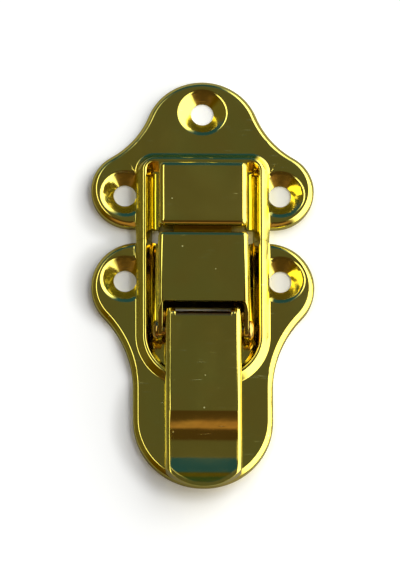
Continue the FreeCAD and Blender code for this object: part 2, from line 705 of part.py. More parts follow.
def make_lever():
    """Folded channel whose web dips into a trough and rises into the finger lip inside a level rim."""
    lip_offset = "sheet_thickness * tan(lip_slope_deg) - sheet_thickness / cos(lip_slope_deg)"
    lip_edge = f"({LEVER_HEIGHT} + {lip_offset})"
    curl_height = f"({TROUGH_HEIGHT} + lip_curl_radius)"
    sole_height = f"({TROUGH_HEIGHT} + trough_sole_radius)"
    brow_height = f"({LEVER_HEIGHT} - trough_brow_radius)"
    under_trough = f"({TROUGH_HEIGHT} - sheet_thickness)"
    above, below = f"({LEVER_HEIGHT} + tool_overrun)", "(-tool_overrun)"

    form = add_side_profile("lever_form", [
        corner(LEVER_EAR_TOP_Y, LEVER_HEIGHT),
        corner(TIP_Y, LEVER_HEIGHT),
        corner(TIP_Y, lip_edge),
        convex(TROUGH_END_Y, curl_height, "(lip_curl_radius + sheet_thickness)"),
        corner(TROUGH_START_Y, under_trough),
        corner(LEVER_FLAT_END_Y, LEVER_FLANGE_HEIGHT),
        corner(LEVER_FLANGE_STEP_Y, LEVER_FLANGE_HEIGHT),
        convex(DRAW_PIVOT_Y, DRAW_PIVOT_HEIGHT, LEVER_LINK_RADIUS),
        convex(LEVER_PIVOT_Y, LEVER_PIVOT_HEIGHT, "lever_ear_radius"),
    ], "2 * lever_half_width")
    fillet(form, "lever_bends", "lever_bend_radius",
           lambda edge: level(edge, number(LEVER_HEIGHT)) and edge.BoundBox.XLength < LENGTH_TOLERANCE)
    tip = tip_plan("lever_half_width", TIP_Y, TIP_ARC_RADIUS, "tip_corner_radius")
    plan = add_plan("lever_plan", tip, above)

    trough = add_side_profile("trough_form", [
        corner(f"{LEVER_FLAT_END_Y} + tool_overrun", f"{LEVER_HEIGHT} + tool_lift"),
        corner(f"{LEVER_FLAT_END_Y} + tool_overrun", above),
        corner(LIP_TOP_Y, above),
        corner(LIP_TOP_Y, LEVER_HEIGHT),
        convex(TROUGH_END_Y, curl_height, "lip_curl_radius"),
        convex(TROUGH_START_Y, sole_height, "trough_sole_radius"),
        concave(LEVER_FLAT_END_Y, brow_height, "trough_brow_radius"),
    ], f"2 * {LEVER_INNER}")
    inner_arc_radius = f"({TIP_ARC_RADIUS} - sheet_thickness)"
    inner_tip = tip_plan(LEVER_INNER, LIP_TOP_Y, inner_arc_radius, "trough_corner_radius")
    trough_plan = add_plan("trough_plan", inner_tip, above)

    channel = add_side_profile("channel_form", [
        corner(f"{LEVER_PIVOT_Y} + tool_overrun", below),
        corner(f"{LEVER_PIVOT_Y} + tool_overrun", f"{LEVER_HEIGHT} - sheet_thickness"),
        convex(LEVER_FLAT_END_Y, brow_height, "(trough_brow_radius - sheet_thickness)"),
        concave(TROUGH_START_Y, sole_height, "(trough_sole_radius + sheet_thickness)"),
        corner(f"{TROUGH_START_Y} - tool_overrun", f"{under_trough} - tool_lift"),
        corner(f"{TROUGH_START_Y} - tool_overrun", below),
    ], f"2 * {LEVER_INNER}")

    notch = f"({LEVER_INNER} - lever_notch_radius)"
    notch_y = f"({LEVER_WEB_EDGE_Y} + lever_notch_radius)"
    web_notch = add_plan("lever_notch", [
        convex(f"-{notch}", notch_y, "lever_notch_radius"),
        convex(notch, notch_y, "lever_notch_radius"),
        corner(LEVER_INNER, "tool_overrun"),
        corner(f"-{LEVER_INNER}", "tool_overrun"),
    ], above)
    outside = combine("Common", "lever_outside", form, plan)
    trough_room = combine("Common", "trough_room", trough, trough_plan)
    inside = combine("MultiFuse", "lever_inside", trough_room, channel, web_notch)
    folded = combine("Cut", "lever_folded", outside, inside)
    holes = combine("MultiFuse", "lever_holes",
                    add_bore_tool("lever_pin_bore", LEVER_PIVOT_Y, LEVER_PIVOT_HEIGHT,
                                  "pin_radius + pin_running_clearance"),
                    add_bore_tool("lever_rivet_bore", DRAW_PIVOT_Y, DRAW_PIVOT_HEIGHT, "pin_radius"))
    return combine("Cut", "lever", folded, holes)


def add_bore_tool(name, y, z, radius):
    """A cylinder along X through the whole width, to cut a bore with."""
    tool = doc.addObject("Part::Cylinder", name)
    tool.setExpression("Radius", bound(radius))
    tool.setExpression("Height", bound(f"4 * {DRAW_HALF_WIDTH}"))
    tool.Placement = FreeCAD.Placement(Vector(0, 0, 0), FreeCAD.Rotation(Vector(0, 1, 0), 90))
    tool.setExpression(".Placement.Base.x", bound(f"-2 * {DRAW_HALF_WIDTH}"))
    tool.setExpression(".Placement.Base.y", bound(y))
    tool.setExpression(".Placement.Base.z", bound(z))
    return tool


def make_draw_plate():
    """Folded channel whose closed end turns down into the claw."""
    bend_y, bend_z = f"({CLAW_OUTER_Y} - draw_bend_radius)", f"({DRAW_HEIGHT} - draw_bend_radius)"
    form = add_side_profile("draw_form", [
        convex(DRAW_PIVOT_Y, DRAW_PIVOT_HEIGHT, DRAW_EAR_RADIUS),
        corner(CLAW_OUTER_Y, CLAW_BOTTOM_HEIGHT),
        convex(bend_y, bend_z, "draw_bend_radius"),
        corner(DRAW_WEB_EDGE_Y, DRAW_HEIGHT),
    ], f"2 * {DRAW_HALF_WIDTH}")
    fillet(form, "draw_bends", "draw_bend_radius", on_draw_fold)
    open_y = f"({DRAW_PIVOT_Y} - {DRAW_EAR_RADIUS} - tool_overrun)"
    room = add_side_profile("draw_room", [
        corner(open_y, "-tool_overrun"),
        corner(CLAW_INNER_Y, "-tool_overrun"),
        convex(bend_y, bend_z, "(draw_bend_radius - sheet_thickness)"),
        corner(open_y, f"{DRAW_HEIGHT} - sheet_thickness"),
    ], f"2 * {DRAW_INNER}")
    notch = f"({DRAW_INNER} - draw_notch_radius)"
    notch_y = f"({DRAW_WEB_EDGE_Y} - draw_notch_radius)"
    web_notch = add_plan("draw_notch", [
        corner(f"-{DRAW_INNER}", open_y),
        corner(DRAW_INNER, open_y),
        convex(notch, notch_y, "draw_notch_radius"),
        convex(f"-{notch}", notch_y, "draw_notch_radius"),
    ], f"{DRAW_HEIGHT} + tool_overrun")
    hole = add_bore_tool("draw_rivet_bore", DRAW_PIVOT_Y, DRAW_PIVOT_HEIGHT,
                         "pin_radius + pin_running_clearance")
    inside = combine("MultiFuse", "draw_inside", room, web_notch, hole)
    return combine("Cut", "draw_plate", form, inside)


def on_draw_fold(edge):
    """Whether an edge runs along a fold between the flanges and the web or the claw."""
    box = edge.BoundBox
    along_web = level(edge, number(DRAW_HEIGHT))
    along_claw = abs(box.YMin - number(CLAW_OUTER_Y)) < LENGTH_TOLERANCE
    bend_bottom = number(f"{DRAW_HEIGHT} - draw_bend_radius") - LENGTH_TOLERANCE
    round_bend = box.YLength > LENGTH_TOLERANCE and box.ZMin > bend_bottom
    return box.XLength < LENGTH_TOLERANCE and (along_web or along_claw or round_bend)


def add_turned(name, y, z, path):
    """A turned piece on an axis along X, from the half section over that axis."""
    body = add_body(name)
    sketch = add_sketch(body, f"{name}_section", "XZ_Plane", {"y": z, "z": f"-({y})"})
    draw_path(sketch, path)
    turned = add_feature(body, "Revolution", f"{name}_turned", sketch, Angle="360")
    turned.ReferenceAxis = (sketch, ["H_Axis"])
    doc.recompute()
    return body


def make_lever_pin():
    """Pin pressed into the ears, with a thin head outside each flange of the lever."""
    head = "(lever_half_width + pin_head_clearance)"
    end = f"({head} + pin_head_thickness)"
    return add_turned("lever_pin", LEVER_PIVOT_Y, LEVER_PIVOT_HEIGHT, [
        corner(f"-{end}", "0"),
        corner(end, "0"),
        corner(end, PIN_HEAD_RADIUS),
        corner(head, PIN_HEAD_RADIUS),
        corner(head, "pin_radius"),
        corner(f"-{head}", "pin_radius"),
        corner(f"-{head}", PIN_HEAD_RADIUS),
        corner(f"-{end}", PIN_HEAD_RADIUS),
    ])


def make_draw_rivet(name, right):
    """Rivet pressed into one flange of the lever, whose round head keeps the draw plate on its shank."""
    path = [
        corner(LEVER_INNER, "0"),
        corner(RIVET_END_X, "0"),
        corner(RIVET_END_X, "rivet_head_radius - rivet_head_chamfer"),
        corner(f"{RIVET_END_X} - rivet_head_chamfer", "rivet_head_radius"),
        corner(RIVET_HEAD_X, "rivet_head_radius"),
        corner(RIVET_HEAD_X, "pin_radius"),
        corner(LEVER_INNER, "pin_radius"),
    ]
    if not right:
        path = mirrored(path)
    return add_turned(name, DRAW_PIVOT_Y, DRAW_PIVOT_HEIGHT, path)


def check_state():
    """Stops the build if an object of the document failed to compute."""
    doc.recompute()
    for item in doc.Objects:
        faults = {"Invalid", "Error"} & set(item.State)
        if faults:
            raise RuntimeError(f"{item.Label} is {', '.join(faults)}")


def export(nodes):
    """Checks the shape of every piece and writes it to its STEP file."""
    os.makedirs("parts", exist_ok=True)
    for node in nodes:
        shape = node.Shape
        if shape.isNull() or not shape.isValid():
            raise RuntimeError(f"{node.Label} has no valid shape")
        shape.exportStep(f"parts/{node.Label}.step")


def main():
    nodes = [
        make_keeper_plate(),
        make_base_plate(),
        make_lever(),
        make_lever_pin(),
        make_draw_plate(),
        make_draw_rivet("draw_rivet_left", right=False),
        make_draw_rivet("draw_rivet_right", right=True),
    ]
    check_state()
    export(nodes)


if __name__ == "__main__":
    main()
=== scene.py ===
"""Chest latch in brass-plated steel sheet: dished plates, folded lever and draw plate, on a pale table."""
import logging
import math
from dataclasses import dataclass
from enum import Enum
from typing import Callable

import bmesh
import bpy
from mathutils import Matrix, Vector


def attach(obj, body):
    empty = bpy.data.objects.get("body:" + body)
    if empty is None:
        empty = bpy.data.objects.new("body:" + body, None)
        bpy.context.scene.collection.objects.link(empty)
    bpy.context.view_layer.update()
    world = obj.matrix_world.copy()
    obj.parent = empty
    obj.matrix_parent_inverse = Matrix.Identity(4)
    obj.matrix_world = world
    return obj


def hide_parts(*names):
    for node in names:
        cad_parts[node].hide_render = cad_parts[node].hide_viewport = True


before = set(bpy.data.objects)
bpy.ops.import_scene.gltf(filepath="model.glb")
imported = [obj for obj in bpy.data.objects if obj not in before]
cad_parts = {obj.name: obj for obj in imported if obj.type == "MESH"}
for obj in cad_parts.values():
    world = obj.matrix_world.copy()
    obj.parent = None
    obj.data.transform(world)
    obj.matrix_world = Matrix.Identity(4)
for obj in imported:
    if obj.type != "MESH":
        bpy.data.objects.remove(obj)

log = logging.getLogger("chest_latch")

MM = 0.001
# Millimetres within which an edge or a face counts as lying at a height.
HEIGHT_SLACK = 0.02
# Names of the light field's edges, in the order that LightField.edges gives them.
FIELD_EDGES = ("Side Out", "Side In", "Low Out", "Low In", "High In", "High Out")

Colour = tuple[float, float, float]


class Body(Enum):
    """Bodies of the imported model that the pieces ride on."""

    PLATES = "plates"
    LEVER = "lever"
    DRAW_PLATE = "draw_plate"


class Slot(Enum):
    """Material slots of the record."""

    SHEET = "plated_sheet"
    PINS = "plated_pins"


class Nodes:
    """Small helper that adds and links shader nodes in one tree."""

    def __init__(self, tree: bpy.types.NodeTree) -> None:
        """Keeps the tree that the nodes go into.

        Args:
            tree: Node tree of a material, a world or a node group.
        """
        self.tree = tree

    def add(self, kind: str, **settings: object) -> bpy.types.Node:
        """Adds a node and sets its properties.

        Args:
            kind: Node type without its ShaderNode prefix.
            **settings: Properties of the node, by name.

        Returns:
            The new node.
        """
        node = self.tree.nodes.new(f"ShaderNode{kind}")
        for name, value in settings.items():
            setattr(node, name, value)
        return node

    def link(self, source: bpy.types.NodeSocket, target: bpy.types.NodeSocket) -> None:
        """Links an output to an input.

        Args:
            source: Output that is read.
            target: Input that it goes to.
        """
        self.tree.links.new(source, target)

    def feed(self, node: bpy.types.Node, **inputs: object) -> bpy.types.Node:
        """Sets or links inputs of a node.

        Args:
            node: Node whose inputs are given.
            **inputs: Sockets or constants by input name, with underscores for spaces, or i and its index.

        Returns:
            The same node.
        """
        for name, value in inputs.items():
            key = int(name[1:]) if name[0] == "i" and name[1:].isdigit() else name.replace("_", " ")
            if isinstance(value, bpy.types.NodeSocket):
                self.link(value, node.inputs[key])
            else:
                node.inputs[key].default_value = value
        return node

    def math(self, operation: str, first: object, second: object = 0.0,
             clamp: bool = False) -> bpy.types.NodeSocket:
        """Adds a math node.

        Args:
            operation: Blender's name of the operation.
            first: Socket or number.
            second: Socket or number.
            clamp: Whether the result is held between 0 and 1.

        Returns:
            The result's socket.
        """
        node = self.add("Math", operation=operation, use_clamp=clamp)
        self.feed(node, i0=first, i1=second)
        return node.outputs[0]

    def step(self, value: object, low: object, high: object) -> bpy.types.NodeSocket:
        """Adds a smooth step that rises from 0 at the low edge to 1 at the high one.

        Args:
            value: Socket that is stepped.
            low: Socket or number where the step starts.
            high: Socket or number where it ends.

        Returns:
            The step's socket.
        """
        node = self.add("MapRange", interpolation_type="SMOOTHSTEP")
        self.feed(node, i0=value, i1=low, i2=high)
        return node.outputs[0]

    def blend(self, factor: object, first: object, second: object) -> bpy.types.NodeSocket:
        """Adds a mix of two colours.

        Args:
            factor: Share of the second colour.
            first: Socket or colour.
            second: Socket or colour.

        Returns:
            The mixed colour's socket.
        """
        node = self.add("Mix", data_type="RGBA")
        opaque = [(*colour, 1.0) if isinstance(colour, tuple) else colour for colour in (first, second)]
        self.feed(node, i0=factor, i6=opaque[0], i7=opaque[1])
        return node.outputs[2]


class SurfaceEffects:
    """Node groups that the finishes share."""

    SHORT_RIPPLE_RATIO = 4.2
    HAIRLINE_SCALE = 150.0
    HAIRLINE_TURNS = ((0.35, 16.0), (1.9, 22.0), (2.7, 12.0))
    HAIRLINE_EDGE = 0.80
    HAIRLINE_EDGE_DROP = 0.16
    HAIRLINE_STEEPNESS = 16.0
    SPECK_RADIUS = 0.04
    SPECK_RADIUS_SPREAD = 0.10
    SPECK_STEEPNESS = 20.0
    CLOUD_EDGES = (0.42, 0.72)

    def __init__(self) -> None:
        """Builds each group once."""
        self.ripple = self._ripple()
        self.hairlines = self._hairlines()
        self.specks = self._specks()
        self.handling = self._handling()

    @staticmethod
    def _start(name: str, **inputs: float) -> tuple[Nodes, bpy.types.Node, bpy.types.Node]:
        """Starts a group that reads a place and puts out one value.

        Args:
            name: Name of the group.
            **inputs: Further inputs and their values.

        Returns:
            The group's node helper, its input node and its output node.
        """
        tree = bpy.data.node_groups.new(name, "ShaderNodeTree")
        tree.interface.new_socket("Place", in_out="INPUT", socket_type="NodeSocketVector")
        for label, value in inputs.items():
            socket = tree.interface.new_socket(label, in_out="INPUT", socket_type="NodeSocketFloat")
            socket.default_value = value
        tree.interface.new_socket("Value", in_out="OUTPUT", socket_type="NodeSocketFloat")
        return Nodes(tree), tree.nodes.new("NodeGroupInput"), tree.nodes.new("NodeGroupOutput")

    def _ripple(self) -> bpy.types.NodeTree:
        """Slow waviness that pressing leaves in sheet, with a shorter one on top.

        Returns:
            The node group.
        """
        nodes, entry, leave = self._start("pressing_ripple", Scale=110.0, Short=0.12)
        place, scale, share = (entry.outputs[label] for label in ("Place", "Scale", "Short"))
        broad = nodes.feed(nodes.add("TexNoise"), Vector=place, Scale=scale, Detail=0.5)
        finer = nodes.math("MULTIPLY", scale, self.SHORT_RIPPLE_RATIO)
        short = nodes.feed(nodes.add("TexNoise"), Vector=place, Scale=finer, Detail=1.0)
        raised = nodes.math("MULTIPLY", short.outputs["Fac"], share)
        nodes.link(nodes.math("ADD", broad.outputs["Fac"], raised), leave.inputs["Value"])
        return nodes.tree

    def _hairlines(self) -> bpy.types.NodeTree:
        """Hairline scratches in three directions, each broken up by a stretched noise.

        Returns:
            The node group.
        """
        nodes, entry, leave = self._start("hairlines", Share=0.5)
        drop = nodes.math("MULTIPLY", entry.outputs["Share"], self.HAIRLINE_EDGE_DROP)
        edge = nodes.math("SUBTRACT", self.HAIRLINE_EDGE, drop)
        lines = []
        for turn, stretch in self.HAIRLINE_TURNS:
            scale = (self.HAIRLINE_SCALE, self.HAIRLINE_SCALE * stretch, self.HAIRLINE_SCALE)
            turned = nodes.feed(nodes.add("Mapping"), Vector=entry.outputs["Place"],
                                Rotation=(0.0, 0.0, turn), Scale=scale)
            noise = nodes.feed(nodes.add("TexNoise"), Vector=turned.outputs[0], Scale=1.0, Detail=2.0)
            over = nodes.math("SUBTRACT", noise.outputs["Fac"], edge)
            lines.append(nodes.math("MULTIPLY", over, self.HAIRLINE_STEEPNESS, clamp=True))
        joined = nodes.math("MAXIMUM", lines[0], nodes.math("MAXIMUM", lines[1], lines[2]))
        nodes.link(joined, leave.inputs["Value"])
        return nodes.tree

    def _specks(self) -> bpy.types.NodeTree:
        """Scattered dust grains and pits of different sizes.

        Returns:
            The node group.
        """
        nodes, entry, leave = self._start("specks", Scale=420.0, Share=0.1)
        cells = nodes.feed(nodes.add("TexVoronoi"), Vector=entry.outputs["Place"],
                           Scale=entry.outputs["Scale"])
        parts = nodes.feed(nodes.add("SeparateXYZ"), Vector=cells.outputs["Color"])
        spread = nodes.math("MULTIPLY", parts.outputs["Y"], self.SPECK_RADIUS_SPREAD)
        radius = nodes.math("ADD", spread, self.SPECK_RADIUS)
        inside = nodes.math("SUBTRACT", radius, cells.outputs["Distance"])
        dot = nodes.math("MULTIPLY", inside, self.SPECK_STEEPNESS, clamp=True)
        chosen = nodes.math("LESS_THAN", parts.outputs["X"], entry.outputs["Share"])
        nodes.link(nodes.math("MULTIPLY", dot, chosen), leave.inputs["Value"])
        return nodes.tree

    def _handling(self) -> bpy.types.NodeTree:
        """Cloudy patches where the finish is duller from handling.

        Returns:
            The node group.
        """
        nodes, entry, leave = self._start("handling_marks", Scale=60.0)
        cloud = nodes.feed(nodes.add("TexNoise"), Vector=entry.outputs["Place"], Scale=entry.outputs["Scale"],
                           Detail=4.0, Roughness=0.62, Distortion=0.6)
        nodes.link(nodes.step(cloud.outputs["Fac"], *self.CLOUD_EDGES), leave.inputs["Value"])
        return nodes.tree


@dataclass(frozen=True)
class BrassPlating:
    """Bright brass plating over steel, with the ripple, dust and marks of a used pressing."""

    name: str
    colour: Colour = (0.85, 0.75, 0.145)
    warm_colour: Colour = (0.88, 0.71, 0.13)
    dull_colour: Colour = (0.80, 0.76, 0.36)
    roughness: float = 0.105
    mark_roughness: float = 0.05
    speck_roughness: float = 0.42
    ripple_scale: float = 110.0
    ripple_depth: float = 0.26 * MM
    ripple_strength: float = 0.5
    wear_depth: float = 0.03 * MM
    wear_strength: float = 0.4
    speck_share: float = 0.16
    hairline_share: float = 0.5
    hairline_wear: float = 0.5
    tone_scale: float = 85.0
    tone_edges: tuple[float, float] = (0.35, 0.65)

    def build(self, effects: SurfaceEffects) -> bpy.types.Material:
        """Builds the material.

        Args:
            effects: Shared node groups.

        Returns:
            The material.
        """
        material = bpy.data.materials.new(self.name)
        material.use_nodes = True
        nodes = Nodes(material.node_tree)
        shader = material.node_tree.nodes["Principled BSDF"]
        place = nodes.add("TexCoord").outputs["Object"]

        def effect(group: bpy.types.NodeTree, **values: float) -> bpy.types.NodeSocket:
            """Places a shared group in this material.

            Args:
                group: Shared node group.
                **values: Inputs of the group, by name.

            Returns:
                The socket of the group's value.
            """
            node = nodes.add("Group")
            node.node_tree = group
            return nodes.feed(node, Place=place, **values).outputs["Value"]

        ripple = effect(effects.ripple, Scale=self.ripple_scale)
        specks = effect(effects.specks, Share=self.speck_share)
        hairlines = effect(effects.hairlines, Share=self.hairline_share)
        marks = effect(effects.handling)

        wear = nodes.math("MAXIMUM", nodes.math("MULTIPLY", hairlines, self.hairline_wear), specks)
        tone = nodes.feed(nodes.add("TexNoise"), Vector=place, Scale=self.tone_scale, Detail=2.0)
        warmth = nodes.step(tone.outputs["Fac"], *self.tone_edges)
        plating = nodes.blend(warmth, self.colour, self.warm_colour)
        nodes.link(nodes.blend(wear, plating, self.dull_colour), shader.inputs["Base Color"])

        cloudy = nodes.math("ADD", nodes.math("MULTIPLY", marks, self.mark_roughness), self.roughness)
        worn = nodes.math("MULTIPLY", wear, self.speck_roughness - self.roughness)
        nodes.link(nodes.math("ADD", cloudy, worn), shader.inputs["Roughness"])
        shader.inputs["Metallic"].default_value = 1.0

        wavy = nodes.feed(nodes.add("Bump"), Height=ripple, Strength=self.ripple_strength,
                          Distance=self.ripple_depth)
        cut = nodes.feed(nodes.add("Bump"), Height=nodes.math("MULTIPLY", wear, -1.0),
                         Strength=self.wear_strength, Distance=self.wear_depth, Normal=wavy.outputs[0])
        nodes.link(cut.outputs[0], shader.inputs["Normal"])
        return material


@dataclass(frozen=True)
class EdgeView:
    """Where an edge of a mesh lies and how sharply it turns, in millimetres and degrees."""

    low: Vector
    high: Vector
    turn: float

    @classmethod
    def of(cls, edge: bmesh.types.BMEdge) -> "EdgeView":
        """Measures an edge.

        Args:
            edge: Edge of a mesh whose place is in metres.

        Returns:
            Its view.
        """
        first, second = (vert.co / MM for vert in edge.verts)
        low = Vector(map(min, first, second))
        high = Vector(map(max, first, second))
        return cls(low, high, math.degrees(edge.calc_face_angle(0.0)))

    @property
    def near_x(self) -> float:
        """Distance from the centre line of the end that lies nearer to it.

        Returns:
            The distance, in millimetres.
        """
        return min(abs(self.low.x), abs(self.high.x))

    @property
    def far_x(self) -> float:
        """Distance from the centre line of the end that lies further from it.

        Returns:
            The distance, in millimetres.
        """
        return max(abs(self.low.x), abs(self.high.x))

    def level(self, height: float, turn: float = 12.0) -> bool:
        """Whether the edge lies at a height and turns by more than an angle.

        Args:
            height: Height, in millimetres.
            turn: Least angle between the edge's faces, in degrees.

        Returns:
            Whether both hold.
        """
        off = max(abs(self.low.z - height), abs(self.high.z - height))
        return self.turn > turn and off < HEIGHT_SLACK

    def distance(self, place: tuple[float, float]) -> float:
        """Distance of the edge's middle from a place in the plan.

        Args:
            place: Place in the plan, in millimetres.

        Returns:
            The distance, in millimetres.
        """
        middle = (self.low + self.high) / 2
        return math.hypot(middle.x - place[0], middle.y - place[1])


@dataclass(frozen=True)
class SoftEdge:
    """One kind of edge, and how it is rounded."""

    width: float
    segments: int
    chosen: Callable[[EdgeView], bool]


@dataclass
class SheetPiece:
    """A pressed or folded piece: a merged copy of its node, with its edges rounded and its bends smooth."""

    node: str = ""
    body: Body = Body.PLATES
    slot: Slot = Slot.SHEET
    cut_edge_width: float = 0.07
    cut_edge_turn: float = 40.0
    cut_edge_floor: float = 1.2
    cut_edge_segments: int = 2
    smooth_angle: float = 35.0
    merge_distance: float = 0.002
    flat_angle: float = 0.4
    flat_weight: int = 50

    def on_cut_edge(self, edge: EdgeView) -> bool:
        """Whether an edge is a sharp one that shows from above.

        Args:
            edge: Edge to judge.

        Returns:
            Whether it is.
        """
        return edge.turn > self.cut_edge_turn and edge.low.z > self.cut_edge_floor

    def soft_edges(self) -> list[SoftEdge]:
        """Kinds of edge in the order in which they are rounded.

        Returns:
            The sheet's cut edges alone.
        """
        return [SoftEdge(self.cut_edge_width, self.cut_edge_segments, self.on_cut_edge)]

    def prepare(self) -> None:
        """Changes the merged copy before its edges are rounded, where a piece needs that."""

    def build(self, material: bpy.types.Material) -> bpy.types.Object:
        """Builds the piece and puts it in its node's place.

        Args:
            material: Finish of the piece.

        Returns:
            The new piece.
        """
        piece = self.copy_node()
        self.prepare()
        for kind in self.soft_edges():
            self.round_edges(kind)
        self.smooth(piece)
        piece.data.materials.clear()
        piece.data.materials.append(material)
        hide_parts(self.node)
        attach(piece, self.body.value)
        log.info("%s: %d faces on %s", piece.name, len(piece.data.polygons), self.body.value)
        return piece

    def copy_node(self) -> bpy.types.Object:
        """Copies the node's mesh, merges it and joins its flat triangles.

        Returns:
            The copy, selected and active.
        """
        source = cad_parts[self.node]
        piece = bpy.data.objects.new(f"{self.node}_finished", source.data.copy())
        bpy.context.scene.collection.objects.link(piece)
        bpy.ops.object.select_all(action="DESELECT")
        piece.select_set(True)
        bpy.context.view_layer.objects.active = piece
        bpy.ops.object.mode_set(mode="EDIT")
        bpy.ops.mesh.select_all(action="SELECT")
        bpy.ops.mesh.remove_doubles(threshold=self.merge_distance * MM)
        bpy.ops.mesh.customdata_custom_splitnormals_clear()
        bpy.ops.mesh.dissolve_limited(angle_limit=math.radians(self.flat_angle), delimit={"NORMAL"})
        bpy.ops.object.mode_set(mode="OBJECT")
        return piece

    def round_edges(self, kind: SoftEdge) -> None:
        """Selects the edges of one kind on the active piece and bevels them.

        Args:
            kind: Which edges, and how wide their rounding is.
        """
        bpy.ops.object.mode_set(mode="EDIT")
        bpy.ops.mesh.select_mode(type="EDGE")
        bpy.ops.mesh.select_all(action="DESELECT")
        form = bmesh.from_edit_mesh(bpy.context.active_object.data)
        chosen = [edge for edge in form.edges if kind.chosen(EdgeView.of(edge))]
        for edge in chosen:
            edge.select_set(True)
        bmesh.update_edit_mesh(bpy.context.active_object.data)
        if chosen:
            bpy.ops.mesh.bevel(offset=kind.width * MM, offset_type="OFFSET", segments=kind.segments,
                               affect="EDGES", clamp_overlap=False, loop_slide=True)
        bpy.ops.object.mode_set(mode="OBJECT")
        log.info("  %d edges rounded by %.2f mm", len(chosen), kind.width)

    def smooth(self, piece: bpy.types.Object) -> None:
        """Shades the bends smooth and keeps the flats' own normals.

        Args:
            piece: The piece, selected and active.
        """
        bpy.ops.object.shade_smooth_by_angle(angle=math.radians(self.smooth_angle))
        weighting = piece.modifiers.new("flat_normals", "WEIGHTED_NORMAL")
        weighting.mode = "FACE_AREA"
        weighting.weight = self.flat_weight
        weighting.keep_sharp = True
        bpy.ops.object.modifier_apply(modifier=weighting.name)


